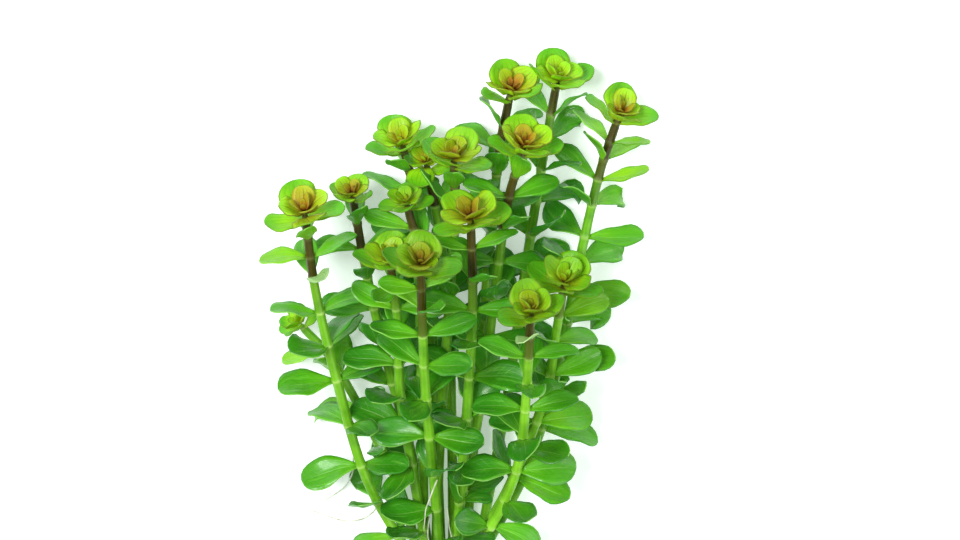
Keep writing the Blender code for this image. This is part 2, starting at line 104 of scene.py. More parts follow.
# How a leaf may give way to its neighbours, with how much each change is put off.
turns = ((0, 0.0), (16, 1.0), (-16, 1.0), (32, 2.2), (-32, 2.2))
rises = ((0, 0.0), (14, 0.8), (-14, 0.8), (30, 1.8), (-28, 1.9), (46, 3.2))
scales = ((1.0, 0.0), (0.84, 1.5), (0.68, 3.4), (0.54, 4.4))
givingWay = sorted(itertools.product(turns, rises, scales),
                   key=lambda mix: sum(delay for _, delay in mix))
givingWay = [[value for value, _ in mix] for mix in givingWay]


def crossed(firstTurn, drift, heights):
    # each pair is a quarter turn on from the one above, and the drift more
    return tuple((y, firstTurn + i * (90 + drift)) for i, y in enumerate(heights))


# Name: place in the neck (column, layer), length of the brown part under the crown, crown size, turn
# and closing (how much steeper its outer pair is), route from the crown down, leaf pairs as (height,
# turn). Turn 0 is a pair to the left and right.
stems = {
    "01": dict(
        slot=(-2.5, 2), brown=15, crown=(0.97, 20, 4),
        route=((-29.7, 76.4, 23.0), (-28.3, 60.0, 19.4), (-24.4, 37.0, 14.6), (-18.0, 9.0, 9.0)),
        pairs=((73.4, 100), (68.5, 12), (63.5, 104), (54.6, 28), (46.1, 68), (36.9, 12),
               (24.8, -52), (13.9, 4), (4.1, 88), (-5.0, 10)),
    ),
    "02": dict(
        slot=(2.5, 1), brown=13, crown=(0.96, 8, 14),
        route=((37.1, 94.5, 9.8), (34.0, 84.0, 9.4), (30.4, 66.0, 8.6), (24.4, 33.0, 7.0),
               (17.8, 9.0, 5.2)),
        pairs=((91.0, -42), (87.0, 48), (82.4, -20), (76.4, 50), (68.9, -16), (62.4, 44),
               (55.6, -30), (48.0, 52), (40.0, -20), (31.0, 80), (21.5, -4)),
    ),
    "03": dict(
        slot=(1.5, 2), brown=10, crown=(0.94, 24, 18),
        route=((18.4, 58.6, 35.0), (18.1, 45.0, 28.9), (16.7, 20.0, 18.0), (12.6, 4.0, 11.4)),
        pairs=((54.8, 88), (49.0, 2), (41.6, 92), (33.8, 2), (25.5, 90), (15.4, 4), (6.4, -70),
               (-1.6, 24)),
    ),
    "04": dict(
        slot=(0.5, 2), brown=16, crown=(1.04, 32, 0),
        route=((5.8, 76.2, 27.0), (6.1, 58.0, 22.4), (5.0, 33.0, 16.0), (3.0, 4.0, 9.4)),
        pairs=((72.2, 12), (64.1, 110), (56.4, -8), (48.6, 86), (38.8, -12), (27.6, 46), (15.9, -58),
               (4.5, 30), (-4.6, -60)),
    ),
    "05": dict(
        slot=(-0.5, 2), brown=15, crown=(0.98, -14, 14),
        route=((-4.8, 69.0, 35.0), (-4.7, 55.0, 29.6), (-4.2, 35.0, 22.2), (-2.7, 10.0, 12.8)),
        pairs=((66.0, 30), (60.1, 118), (53.4, 6), (45.2, -30), (35.6, 70), (24.6, -12), (13.7, -60),
               (3.4, 24), (-6.0, -66)),
    ),
    "06": dict(
        slot=(-1.5, 2), brown=6, crown=(0.9, -5, 8),
        route=((-11.6, 65.0, 21.0), (-10.4, 51.0, 17.6), (-10.2, 33.0, 14.0), (-7.4, 10.0, 9.4)),
        pairs=(*crossed(84, -3, (61.0, 55.6, 48.8, 41.0, 32.6, 23.6, 14.2)), (-3.6, 60)),
    ),
    "07": dict(
        slot=(1.5, 1), brown=3, crown=(1.06, -28, 8),
        route=((25.6, 59.3, 21.0), (24.5, 50.0, 18.6), (22.3, 33.0, 14.6), (14.6, 9.0, 9.6)),
        pairs=((54.2, 14), (46.7, 66), (38.7, 9), (32.4, 87), (26.2, 12), (18.6, 92), (11.0, -14)),
    ),
    "08": dict(
        slot=(0.0, 1), brown=18, crown=(0.98, 20, 8),
        route=((16.3, 89.8, 19.0), (13.6, 79.0, 17.0), (11.0, 58.0, 14.0), (7.2, 25.0, 9.2)),
        pairs=((86.0, 94), (81.0, 20), (73.5, 110), (65.2, 9), (56.0, 90), (46.4, 4), (36.8, 92),
               (27.0, -8), (6.6, -6)),
    ),
    "09": dict(
        slot=(-1.0, 1), brown=10, crown=(0.98, -30, 10),
        route=((2.1, 86.6, 17.0), (2.3, 76.0, 15.6), (0.6, 50.0, 12.4), (-1.4, 20.0, 8.2)),
        pairs=crossed(92, -2, (83.0, 78.0, 72.0, 64.6, 56.4, 47.6, 38.4)),
    ),
    "10": dict(
        slot=(-2.0, 1), brown=6, crown=(0.7, -10, 4),
        route=((-7.8, 76.6, 15.0), (-6.2, 68.0, 14.2), (-5.6, 45.0, 11.6), (-5.4, 15.0, 7.2)),
        pairs=crossed(-20, -4, (72.8, 67.6, 61.4, 54.0, 45.6, 36.4, 26.8)),
    ),
    "11": dict(
        slot=(1.5, 0), brown=17, crown=(1.0, 45, 14),
        route=((13.8, 99.0, 8.0), (11.9, 88.0, 7.6), (9.6, 62.0, 6.4), (7.0, 26.0, 4.2)),
        pairs=((94.2, 36), (88.8, -28), (83.0, 80), (76.4, 0), (68.4, 90), (58.8, 0),
               (48.0, 90)),
    ),
    "12": dict(
        slot=(2.5, 0), brown=6, crown=(0.98, 22, 12),
        route=((24.0, 101.4, 7.4), (21.8, 88.0, 7.2), (18.4, 64.0, 6.2), (13.6, 26.0, 4.0)),
        pairs=((96.6, -45), (91.0, 42), (84.0, -50), (76.4, 34), (68.4, -42), (60.0, 50),
               (50.6, -36)),
    ),
    "13": dict(
        slot=(-0.5, 0), brown=12, crown=(0.96, 16, 10),
        route=((-8.7, 87.2, 8.0), (-6.8, 78.0, 7.6), (-4.6, 56.0, 6.2), (-2.6, 22.0, 3.8)),
        pairs=crossed(88, -2, (84.0, 79.2, 73.6, 66.8, 58.8, 49.8, 39.8)),
    ),
    "14": dict(
        slot=(0.5, 0), brown=8, crown=(0.86, -20, 10),
        route=((-3.6, 83.6, 9.6), (-2.0, 74.0, 8.4), (0.4, 55.0, 6.6), (1.2, 22.0, 3.8)),
        pairs=crossed(0, -3, (76.0, 69.0, 60.6, 51.4)),
    ),
    "15": dict(
        slot=(-1.5, 0), brown=15, crown=(0.66, -30, 20),
        route=((-20.0, 77.2, 11.0), (-18.0, 63.0, 9.4), (-14.2, 42.0, 7.0), (-7.4, 10.0, 3.2)),
        pairs=crossed(100, -4, (72.6, 66.4, 59.4, 51.6, 42.6, 32.6, 20.0, 9.0)),
    ),
    "16": dict(
        slot=(-2.5, 0), brown=0, crown=(0.6, -10, 6),
        route=((-31.6, 46.8, 9.0), (-26.4, 40.0, 8.0), (-19.6, 26.0, 5.8), (-10.8, 4.0, 2.6)),
        pairs=crossed(-8, -4, (42.0, 35.4, 27.0, 17.0)),
    ),
}

# Roots: points from beside a low leaf pair, down to the surface or over the stems.
roots = {
    "root_1": ((-21.4, 15.0, 8.4), (-21.6, 10.0, 5.0), (-23.6, 5.0, 1.8), (-27.0, 1.6, 0.6),
               (-31.0, -0.6, 0.3)),
    "root_2": ((-15.6, 2.6, 6.0), (-17.4, -1.4, 3.0), (-20.6, -4.2, 1.0), (-25.0, -4.6, 0.4),
               (-30.6, -2.6, 0.3), (-35.0, -1.4, 0.3)),
    "root_3": ((-2.0, 12.6, 15.1), (-3.6, 8.8, 16.2), (-4.8, 4.6, 16.4), (-5.0, 0.0, 15.6)),
    "root_4": ((0.2, 3.4, 11.0), (0.5, -0.4, 10.4), (1.0, -4.6, 9.4), (0.8, -8.4, 8.5)),
    "root_5": ((-3.9, 1.8, 11.9), (-4.3, -2.4, 11.9), (-3.5, -6.6, 11.0), (-1.9, -10.4, 9.8)),
}


def between(ends, share):
    return ends[0] + (ends[1] - ends[0]) * share


def clamped(value):
    return max(0.0, min(1.0, value))


class Path:
    # a smooth curve through the route, the neck and the cut end, read by its height
    def __init__(self, data):
        column, layer = data["slot"]
        rise = neck["stemRadius"] + neck["clear"] + layer * neck["layerRise"]
        base = Vector((column * neck["pitch"], neck["height"], rise))
        cut = neck["cut"] - neck["cutSteps"][0] * (column % 1.0) - neck["cutSteps"][1] * layer
        end = Vector((base.x, cut, base.z))
        self.top, self.end = data["route"][0][1], end.y
        self.points = smoothLine([Vector(p) for p in data["route"]] + [base, end], neck["lineSteps"])

    def at(self, height):  # the place at this height and the way up from it
        below = [i for i, p in enumerate(self.points) if p.y < height]
        i = min(max(below[0], 1), len(self.points) - 1) if below else len(self.points) - 1
        a, b = self.points[i - 1], self.points[i]
        return a.lerp(b, (a.y - height) / (a.y - b.y)), (a - b).normalized()


def smoothLine(knots, steps):  # through every knot, with this many points to each part
    knots = [2 * knots[0] - knots[1]] + knots + [2 * knots[-1] - knots[-2]]
    line = []
    for a, b, c, d in zip(knots, knots[1:], knots[2:], knots[3:]):
        for i in range(steps):
            t = i / steps
            line.append(0.5 * (2 * b + (c - a) * t + (2 * a - 5 * b + 4 * c - d) * t * t
                               + (3 * b - a - 3 * c + d) * t ** 3))
    return line + [knots[-2]]


def turned(tangent, turn):  # the direction at this turn round a stem
    right = (Vector((1, 0, 0)) - tangent * tangent.x).normalized()
    return Matrix.Rotation(math.radians(turn), 3, tangent) @ right


def halfWidth(along):  # of a leaf's solid, of its widest
    widest, petiole = leafSolid["widest"], leafSolid["petiole"]
    if along < widest:
        return petiole + (1 - petiole) * math.sin(along / widest * math.pi / 2) ** leafSolid["foot"]
    return math.sqrt(max(0.0, 1 - ((along - widest) / (1 - widest)) ** 2))


def leafSpine(foot, out, up, length, pitch, arch, faceUp):  # places, sides and faces along a leaf
    side = up.cross(out)
    centre, spine, step = foot.copy(), [], length / leafSolid["steps"]
    for i in range(leafSolid["steps"] + 1):
        angle = math.radians(pitch + arch * i / leafSolid["steps"])
        ahead = out * math.cos(angle) + up * math.sin(angle)
        if centre.z + ahead.z * step < leafSolid["thick"]:  # from here it lies along the surface
            ahead = Vector((ahead.x, ahead.y, 0)) + leafSolid["lean"] * up
            ahead.z = 0
            ahead.normalize()
        flat = clamped(1 - (centre.z - leafSolid["thick"]) / leafSolid["flatten"])
        face = ahead.cross(side).lerp(Vector((0, 0, 1)), max(flat * flat, faceUp))
        across = face.cross(ahead).normalized()
        spine.append((centre.copy(), across, ahead.cross(across).normalized()))
        centre = centre + ahead * step
    return spine


def solidRings(spine, width):  # the corners that the CAD leaf has along this spine
    corners = []
    for i in leafSolid["sections"]:
        centre, side, face = spine[i]
        half = width / 2 * halfWidth(min(i / leafSolid["steps"], leafSolid["blunt"]))
        ring = [centre - side * half + face * (leafSolid["cup"] * half),
                centre + side * half + face * (leafSolid["cup"] * half),
                centre - face * leafSolid["thick"]]
        lift = max(0.0, -min(p.z for p in ring))
        corners += [p + Vector((0, 0, lift)) for p in ring]
    return corners


def nodeTree(name):  # the corners of a CAD node, in the layout's millimetres, to look up by place
    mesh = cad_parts[name].data
    tree = KDTree(len(mesh.vertices))
    for i, vertex in enumerate(mesh.vertices):
        tree.insert(vertex.co / mm + middle, i)
    tree.balance()
    return tree


def findLeaf(tree, foot, out, up, shape, opening=0.0):
    # the spine and width of the leaf that the CAD node has here, or None where it was left out
    length, width, pitch, arch, faceUp, skew = shape
    for turn, rise, scale in givingWay:
        way = Matrix.Rotation(math.radians(turn + skew), 3, up) @ out
        spine = leafSpine(foot, way, up, length * scale, pitch + rise, arch, faceUp)
        corners = solidRings(spine, width * scale)
        if all(tree.find(corner)[2] < leafSolid["match"] for corner in reversed(corners)):
            if opening:
                spine = leafSpine(foot, way, up, length * scale, pitch + rise - opening, arch, faceUp)
            return spine, width * scale
    return None


def stemRadius(height, top):
    young = max(0.0, 1 - (top - height) / neck["taperSpan"])
    return between((neck["stemRadius"], neck["tipRadius"]), young)


def footOn(centre, out, radius):  # on the flat side of the solid's square stem
    return centre + out * radius * neck["corner"] * math.cos(math.pi / 4)


# A stem's young leaves are fresher, down to so many mm under the crown. Some leaves that face up toward
# the light are painted pale, a painted sheen: how pale, by stem and pair from the top.
leafAges = {"youth": 0.42, "youngSpan": 30.0, "pale": {("01", 2): 0.5, ("03", 0): 0.75}}
# Leaves at the open sides of the bunch are painted lighter and yellower, as painted light let in from
# there: it begins this far (mm) inside its outer stems and is full over a span of this many mm, and
# less at the left.
litSides = {"stems": ("01", "02"), "inside": 4.0, "span": 10.0, "left": 0.6}


def sideLighting(place, sidePaths):
    left, right = (path.at(place.y)[0].x for path in sidePaths)
    reach = max(place.x - right, litSides["left"] * (left - place.x)) + litSides["inside"]
    return clamped(reach / litSides["span"])


def shootLeaves(name):
    data, tree, leaves = stems[name], nodeTree("shoot_" + name), []
    path, sidePaths = Path(data), [Path(stems[side]) for side in litSides["stems"]]
    for index, (height, turn) in enumerate(data["pairs"]):
        centre, up = path.at(height)
        depth = path.top - height
        age = min(1.0, depth / leafPlan["mature"])
        youth = max(0.0, leafAges["youth"] - leafAges["youth"] * depth / leafAges["youngSpan"])
        for side in range(2):
            rng = random.Random(f"shoot {name} {index} {side}")
            length = leafPlan["length"] * between((leafPlan["young"], 1), age)
            length *= rng.uniform(*leafPlan["lengthSpread"])
            width = length * between(leafPlan["width"], age) * rng.uniform(*leafPlan["widthSpread"])
            pitch = between(leafPlan["pitch"], age)
            pitch += rng.uniform(-leafPlan["pitchSpread"], leafPlan["pitchSpread"])
            arch = rng.uniform(*leafPlan["arch"])
            skew = rng.uniform(-leafPlan["skew"], leafPlan["skew"])
            out = turned(up, turn + 180 * side)
            pitch += leafPlan["frontLift"] * max(0.0, out.z)
            foot = footOn(centre, out, stemRadius(height, path.top))
            shape = length, width, pitch, arch, leafPlan["faceUp"], skew
            found = findLeaf(tree, foot, out, up, shape)
            if found:
                look = {"youth": youth, "tint": rng.uniform(-1, 1)}
                # a leaf that faces up toward the light takes its painted sheen, a pale tint, from the
                # list
                if out.z > 0:
                    look["pale"] = leafAges["pale"].get((name, index), 0.0)
                # painted light from the open side of the bunch, by where the leaf's middle is
                look["open"] = sideLighting(found[0][leafSolid["steps"] // 2][0], sidePaths)
                leaves.append((*found, look))
    return leaves


def crownAxis(name):  # the foot of the core and its direction, which turns up from the stem
    path = Path(stems[name])
    top, along = path.at(path.top)
    lift = max(0.0, math.radians(rosette["rise"]) - math.asin(along.z))
    way = Matrix.Rotation(lift, 3, along.cross(Vector((0, 0, 1)))) @ along
    return top + along * rosette["gap"], way


# How far the crowns have turned from green to gold and orange: 1 where it isn't told.
warmth = {
    "02": 0.8, "03": 0.75, "06": 0.6, "07": 0.3, "09": 0.75, "10": 0.3, "12": 0.35, "13": 0.55,
    "14": 0.45, "16": 0.1,
}
# The youth of petals that stay green, and how much even a green crown turns.
greenCrown = {"youth": 0.45, "turning": 0.3}
# How much painted shade darkens the crowns in the middle of the bunch, which get less light than those
# at its edge.
dimness = {
    "03": 0.36, "04": 0.18, "05": 0.46, "06": 0.2, "07": 0.26, "09": 0.16, "10": 0.24, "15": 0.12,
}


def warmed(name, youth):  # a petal's youth, held back in a green crown
    green, turning = greenCrown["youth"], (greenCrown["turning"], 1.0)
    return green + (youth - green) * between(turning, warmth.get(name, 1.0))


def crownLeaves(name):
    tree, leaves = nodeTree("crown_" + name), []
    size, turn, closing = stems[name]["crown"]
    base, up = crownAxis(name)
    rows = rosette["rows"]
    for row, (length, wide, pitch, arch, height) in enumerate(rows):
        centre = base + up * height * size
        radius = neck["tipRadius"] * (1 - rosette["taper"] * height / rows[-1][4])
        for side in range(2):
            rng = random.Random(f"crown {name} {row} {side}")
            long = length * size * rng.uniform(*rosette["spread"])
            rise = pitch + closing * (1 - row / len(rows))
            rise += rng.uniform(-rosette["pitchSpread"], rosette["pitchSpread"])
            skew = rng.uniform(-rosette["skew"], rosette["skew"])
            out = turned(up, turn + 90 * row + 180 * side)
            foot = footOn(centre, out, radius)
            opening = rosette["frontOpening"] * max(0.0, out.z) * row / (len(rows) - 1)
            found = findLeaf(tree, foot, out, up, (long, long * wide, rise, arch, 0.0, skew), opening)
            if found:
                look = {"youth": warmed(name, rosette["youth"][row]), "tint": rng.uniform(-1, 1)}
                spine, width = found
                leaves.append((spine, width * rosette["fuller"][row], look))
    return leaves


# A wire takes part in sums, and one method makes every other node.

def plug(tree, socket, value):
    if isinstance(value, Wire):
        tree.links.new(value.socket, socket)
    else:
        socket.default_value = value


def mathNode(tree, operation, *values):
    node = tree.nodes.new("ShaderNodeMath")
    node.operation = operation
    for socket, value in zip(node.inputs, values):
        plug(tree, socket, value)
    return Wire(tree, node.outputs[0])


class Wire:
    def __init__(self, tree, socket):
        self.tree, self.socket = tree, socket

    def __add__(self, other):
        return mathNode(self.tree, "ADD", self, other)

    def __sub__(self, other):
        return mathNode(self.tree, "SUBTRACT", self, other)

    def __rsub__(self, other):
        return mathNode(self.tree, "SUBTRACT", other, self)

    def __mul__(self, other):
        return mathNode(self.tree, "MULTIPLY", self, other)

    def __truediv__(self, other):
        return mathNode(self.tree, "DIVIDE", self, other)

    def __rtruediv__(self, other):
        return mathNode(self.tree, "DIVIDE", other, self)

    def __pow__(self, other):
        return mathNode(self.tree, "POWER", self, other)

    __radd__, __rmul__ = __add__, __mul__

    def __abs__(self):
        return mathNode(self.tree, "ABSOLUTE", self)

    def sine(self):
        return mathNode(self.tree, "SINE", self)

    def cosine(self):
        return mathNode(self.tree, "COSINE", self)

    def whole(self):
        return mathNode(self.tree, "FLOOR", self)

    def most(self, other):
        return mathNode(self.tree, "MAXIMUM", self, other)

    def least(self, other):
        return mathNode(self.tree, "MINIMUM", self, other)

    def step(self, low, high):  # 0 below low and 1 above high, smooth between
        node = self.tree.nodes.new("ShaderNodeMapRange")
        node.interpolation_type = "SMOOTHSTEP"
        for name, value in (("Value", self), ("From Min", low), ("From Max", high)):
            plug(self.tree, node.inputs[name], value)
        return Wire(self.tree, node.outputs[0])


class Nodes:
    def __init__(self, tree):
        self.tree = tree

    def add(self, kind, settings=None, sockets=None, out=0):
        node = self.tree.nodes.new(kind)
        for name, value in (settings or {}).items():
            if name == "stops":
                ramp = node.color_ramp
                while len(ramp.elements) < len(value):
                    ramp.elements.new(0.5)
                for stop, (place, colour) in zip(ramp.elements, value):
                    stop.position, stop.color = place, colour
            else:
                setattr(node, name, value)
        for name, value in (sockets or {}).items():
            plug(self.tree, node.inputs[name], value)
        return Wire(self.tree, node.outputs[out])

    def read(self, name):  # an attribute of the mesh, for a material
        return self.add("ShaderNodeAttribute", {"attribute_name": name}, out=2)

    def noise(self, place, scale, detail):
        return self.add("ShaderNodeTexNoise", {}, {"Vector": place, "Scale": scale, "Detail": detail})

    def blend(self, amount, first, second):  # of colours
        return self.add("ShaderNodeMix", {"data_type": "RGBA", "clamp_factor": True},
                        {0: amount, 6: first, 7: second}, out=2)

    def vector(self, operation, *values):
        return self.add("ShaderNodeVectorMath", {"operation": operation}, dict(enumerate(values)))

    def scaled(self, vector, amount):
        return self.add("ShaderNodeVectorMath", {"operation": "SCALE"}, {0: vector, "Scale": amount})


def newTree(name, inputs):
    tree = bpy.data.node_groups.new(name, "GeometryNodeTree")
    tree.interface.new_socket("Geometry", in_out="INPUT", socket_type="NodeSocketGeometry")
    for label, (kind, value) in inputs.items():
        socket = tree.interface.new_socket(label, in_out="INPUT", socket_type="NodeSocket" + kind)
        if value is not None:
            socket.default_value = value
    tree.interface.new_socket("Geometry", in_out="OUTPUT", socket_type="NodeSocketGeometry")
    given = tree.nodes.new("NodeGroupInput")
    sockets = {socket.name: Wire(tree, socket) for socket in given.outputs if socket.name}
    return tree, Nodes(tree), sockets


def endTree(tree, geometry, material):
    nodes = Nodes(tree)
    geometry = nodes.add("GeometryNodeRealizeInstances", {}, {"Geometry": geometry})
    geometry = nodes.add("GeometryNodeSetShadeSmooth", {}, {"Geometry": geometry})
    geometry = nodes.add("GeometryNodeSetMaterial", {}, {"Geometry": geometry, "Material": material})
    end = tree.nodes.new("NodeGroupOutput")
    plug(tree, end.inputs[0], geometry)


def stored(nodes, geometry, name, value, kind="FLOAT", domain="POINT"):
    return nodes.add("GeometryNodeStoreNamedAttribute", {"data_type": kind, "domain": domain},
                     {"Geometry": geometry, "Name": name, "Value": value})


def named(nodes, name, kind="FLOAT"):
    return nodes.add("GeometryNodeInputNamedAttribute", {"data_type": kind}, {"Name": name})


# How near the surface (metres) the middle of a thin leaf and the skin of a stalk may come.
clearance = {"leaf": 0.00016, "stalk": 0.00002}
# A leaf's share of rows below its widest place, degrees that the others turn round the tip, how often
# it waves and ripples from foot to tip, and how late it cups.
leafGrid = {"below": 0.55, "tipTurn": 86, "waves": 5.0, "ripples": 11.0, "cupPower": 1.45}


def overFloor(nodes, place, least):
    parts = nodes.add("ShaderNodeSeparateXYZ", {}, {0: place}).socket.node.outputs
    x, y, z = (Wire(nodes.tree, part) for part in parts)
    return nodes.add("ShaderNodeCombineXYZ", {}, {0: x, 1: y, 2: z.most(least)})


def leafTree():
    # one leaf on each spine of 25 points: a grid whose rows follow the spine
    tree, nodes, given = newTree("leafTree", {
        "Rows": ("Int", 12), "Columns": ("Int", 7), "Widest": ("Float", 0.58),
        "Petiole": ("Float", 0.2), "Foot": ("Float", 1.0), "Cup": ("Float", 0.16),
        "Groove": ("Float", 0.05), "Ripple": ("Float", 0.05), "Twist": ("Float", 0.3),
        "Sway": ("Float", 0.3), "Wave": ("Float", 0.1), "Material": ("Material", None),
    })
    spines = stored(nodes, given["Geometry"], "leafStart",
                    nodes.add("GeometryNodeInputIndex"), kind="INT")
    grid = nodes.add("GeometryNodeMeshGrid", {}, {
        "Size X": 2.0, "Size Y": 1.0, "Vertices X": given["Columns"], "Vertices Y": given["Rows"]})
    chart = Wire(tree, grid.socket.node.outputs["UV Map"])
    grid = stored(nodes, grid, "UVMap", chart, kind="FLOAT2", domain="CORNER")
    place = nodes.add("ShaderNodeSeparateXYZ", {}, {0: nodes.add("GeometryNodeInputPosition")})
    grid = stored(nodes, grid, "across", place)
    grid = stored(nodes, grid, "row", Wire(tree, place.socket.node.outputs[1]) + 0.5)
    leaves = nodes.add("GeometryNodeInstanceOnPoints", {}, {
        "Points": spines, "Selection": named(nodes, "first", "BOOLEAN"), "Instance": grid})
    leaves = nodes.add("GeometryNodeRealizeInstances", {}, {"Geometry": leaves})

    # rows: evenly along to the widest place, then at even angles round the tip
    across, row, below = named(nodes, "across"), named(nodes, "row"), leafGrid["below"]
    lower = (row / below).least(1.0)
    tipAngle = (row - below).most(0.0) / (1 - below) * math.radians(leafGrid["tipTurn"])
    t = given["Widest"] * lower + (1.0 - given["Widest"]) * tipAngle.sine()
    rising = (lower * (math.pi / 2)).sine() ** given["Foot"]
    outline = (given["Petiole"] + (1.0 - given["Petiole"]) * rising) * tipAngle.cosine()
    leaves = stored(nodes, leaves, "along", t)
    half = named(nodes, "leafHalf") * outline
    t = named(nodes, "along")
    # where each point falls between two of its spine's points
    stepHere = (t * leafSolid["steps"]).least(leafSolid["steps"] - 0.001)
    share = stepHere - stepHere.whole()
    first = named(nodes, "leafStart", "INT") + stepHere.whole()

    def onSpine(value):
        here, ahead = (nodes.add("GeometryNodeSampleIndex", {"data_type": "FLOAT_VECTOR"}, {
            "Geometry": spines, "Value": value, "Index": first + i}) for i in (0, 1))
        return nodes.add("ShaderNodeMix", {"data_type": "VECTOR"}, {0: share, 4: here, 5: ahead}, out=1)

    # each leaf sways to one side, twists and waves a little, more toward its tip
    tint, reach = named(nodes, "tint"), named(nodes, "leafHalf") * t
    centre = onSpine(nodes.add("GeometryNodeInputPosition"))
    straight = onSpine(named(nodes, "side", "FLOAT_VECTOR"))
    upright = onSpine(named(nodes, "face", "FLOAT_VECTOR"))
    angle = named(nodes, "twist") * given["Twist"] * t
    sine, cosine = angle.sine(), angle.cosine()
    side = nodes.vector("ADD", nodes.scaled(straight, cosine), nodes.scaled(upright, sine))
    face = nodes.vector("SUBTRACT", nodes.scaled(upright, cosine), nodes.scaled(straight, sine))
    sway = named(nodes, "sway") * given["Sway"] * t * reach
    rise = (t * leafGrid["waves"] + tint * 9.0).sine() * given["Wave"] * reach
    centre = nodes.vector("ADD", centre, nodes.vector(
        "ADD", nodes.scaled(straight, sway), nodes.scaled(upright, rise)))
    spread = abs(across)
    cup = given["Cup"] * spread ** leafGrid["cupPower"]
    fold = given["Groove"] * (1.0 - spread.step(0.0, 0.5)) * (1.0 - t)
    waves = (t * leafGrid["ripples"] + tint * 5.0 + across * 1.5).sine()
    ripple = given["Ripple"] * waves * spread * spread * t.step(0.1, 0.5)
    place = nodes.vector("ADD", centre, nodes.vector(
        "ADD", nodes.scaled(side, across * half), nodes.scaled(face, (cup - fold + ripple) * half)))
    leaves = nodes.add("GeometryNodeSetPosition", {}, {
        "Geometry": leaves, "Position": overFloor(nodes, place, clearance["leaf"])})
    endTree(tree, leaves, given["Material"])
    return tree


def stalkTree():
    # a round stalk along a line of points, as thick at each as its attribute says
    tree, nodes, given = newTree("stalkTree", {"Sides": ("Int", 12), "Material": ("Material", None)})
    line = nodes.add("GeometryNodeMeshToCurve", {}, {"Mesh": given["Geometry"]})
    ring = nodes.add("GeometryNodeCurvePrimitiveCircle", {}, {
        "Resolution": given["Sides"], "Radius": 1.0})
    ring = stored(nodes, ring, "around", nodes.add("GeometryNodeSplineParameter"))
    tube = nodes.add("GeometryNodeCurveToMesh", {}, {
        "Curve": line, "Profile Curve": ring, "Scale": named(nodes, "thick"), "Fill Caps": True})
    place = overFloor(nodes, nodes.add("GeometryNodeInputPosition"), clearance["stalk"])
    tube = nodes.add("GeometryNodeSetPosition", {}, {"Geometry": tube, "Position": place})
    endTree(tree, tube, given["Material"])
    return tree


def grown(name, source, tree, look, material):
    # runs the tree on the source mesh and keeps the result as a plain mesh
    thing = bpy.data.objects.new(name, source)
    bpy.context.scene.collection.objects.link(thing)
    grow = thing.modifiers.new("grow", "NODES")
    grow.node_group = tree
    inputs = {**look, "Material": material}
    for item in tree.interface.items_tree:
        if item.in_out == "INPUT" and item.name in inputs:
            grow[item.identifier] = inputs[item.name]
    if "thickness" in look:  # a leaf is thin until here
        wall = thing.modifiers.new("thickness", "SOLIDIFY")
        wall.thickness, wall.offset = look["thickness"] * mm, 0.0
    graph = bpy.context.evaluated_depsgraph_get()
    mesh = bpy.data.meshes.new_from_object(
        thing.evaluated_get(graph), preserve_all_data_layers=True, depsgraph=graph)
    thing.modifiers.clear()
    thing.data = mesh
    mesh.name = name
    return thing


def spineMesh(name, leaves, dim=0.0):
    # the spines of these leaves as loose points that carry what the tree reads
    mesh = bpy.data.meshes.new(name)
    points = [toModel(place) for spine, *_ in leaves for place, _, _ in spine]
    mesh.from_pydata(points, [], [])
    layers = {"side": ("FLOAT_VECTOR", "vector"), "face": ("FLOAT_VECTOR", "vector"),
              "first": ("BOOLEAN", "value")}
    for label in ("leafHalf", "twist", "sway", "dim", "pale", "open", "youth", "tint"):
        layers[label] = ("FLOAT", "value")
    values = {label: [] for label in layers}
    rng = random.Random(name)
    for spine, width, look in leaves:
        same = {"leafHalf": width / 2 * mm, "twist": rng.uniform(-1, 1), "sway": rng.uniform(-1, 1),
                "dim": dim, "pale": 0.0, "open": 0.0, **look}
        for i, (_, side, face) in enumerate(spine):
            values["side"] += side[:]
            values["face"] += face[:]
            values["first"].append(i == 0)
            for label, value in same.items():
                values[label].append(value)
    for label, (kind, field) in layers.items():
        mesh.attributes.new(label, kind, "POINT").data.foreach_set(field, values[label])
    return mesh


def lineMesh(name, points, layers):
    mesh = bpy.data.meshes.new(name)
    mesh.from_pydata([toModel(p) for p in points], [(i, i + 1) for i in range(len(points) - 1)], [])
    for label, values in layers.items():
        mesh.attributes.new(label, "FLOAT", "POINT").data.foreach_set("value", values)
    return mesh


def linear(red, green, blue):  # a screen colour, 0 to 255, as the nodes want it
    def one(c):
        c /= 255
        return c / 12.92 if c <= 0.04045 else ((c + 0.055) / 1.055) ** 2.4
    return one(red), one(green), one(blue), 1.0


def newFinish(name, uniform):
    material = bpy.data.materials.new(name)
    material.use_nodes = True
    tree = material.node_tree
    shader = tree.nodes["Principled BSDF"]
    for label, value in uniform.items():
        shader.inputs[label].default_value = value
    return material, Nodes(tree), shader


def dress(nodes, shader, colour, roughness, relief, bump):
    # joins what changes over the surface to the shader, and to its glow where it has one
    plug(nodes.tree, shader.inputs["Base Color"], colour)
    if shader.inputs["Emission Strength"].default_value:
        plug(nodes.tree, shader.inputs["Emission Color"], colour)
    plug(nodes.tree, shader.inputs["Roughness"], roughness)
    normal = nodes.add("ShaderNodeBump", {}, {
        "Strength": bump["strength"], "Distance": bump["depth"], "Height": relief})
    plug(nodes.tree, shader.inputs["Normal"], normal)


leafColours = {
    "cool": (20, 98, 20), "deep": (50, 132, 10), "fresh": (84, 168, 14), "bright": (142, 204, 18),
    "gold": (160, 172, 22), "orange": (174, 122, 30), "vein": (90, 122, 10), "sheen": (136, 210, 84),
    "base": (110, 180, 24), "dusk": (52, 92, 2), "rib": (156, 210, 96), "rim": (160, 214, 100),
    "margin": (104, 84, 22), "heart": (96, 26, 8), "pale": (176, 204, 140),
}
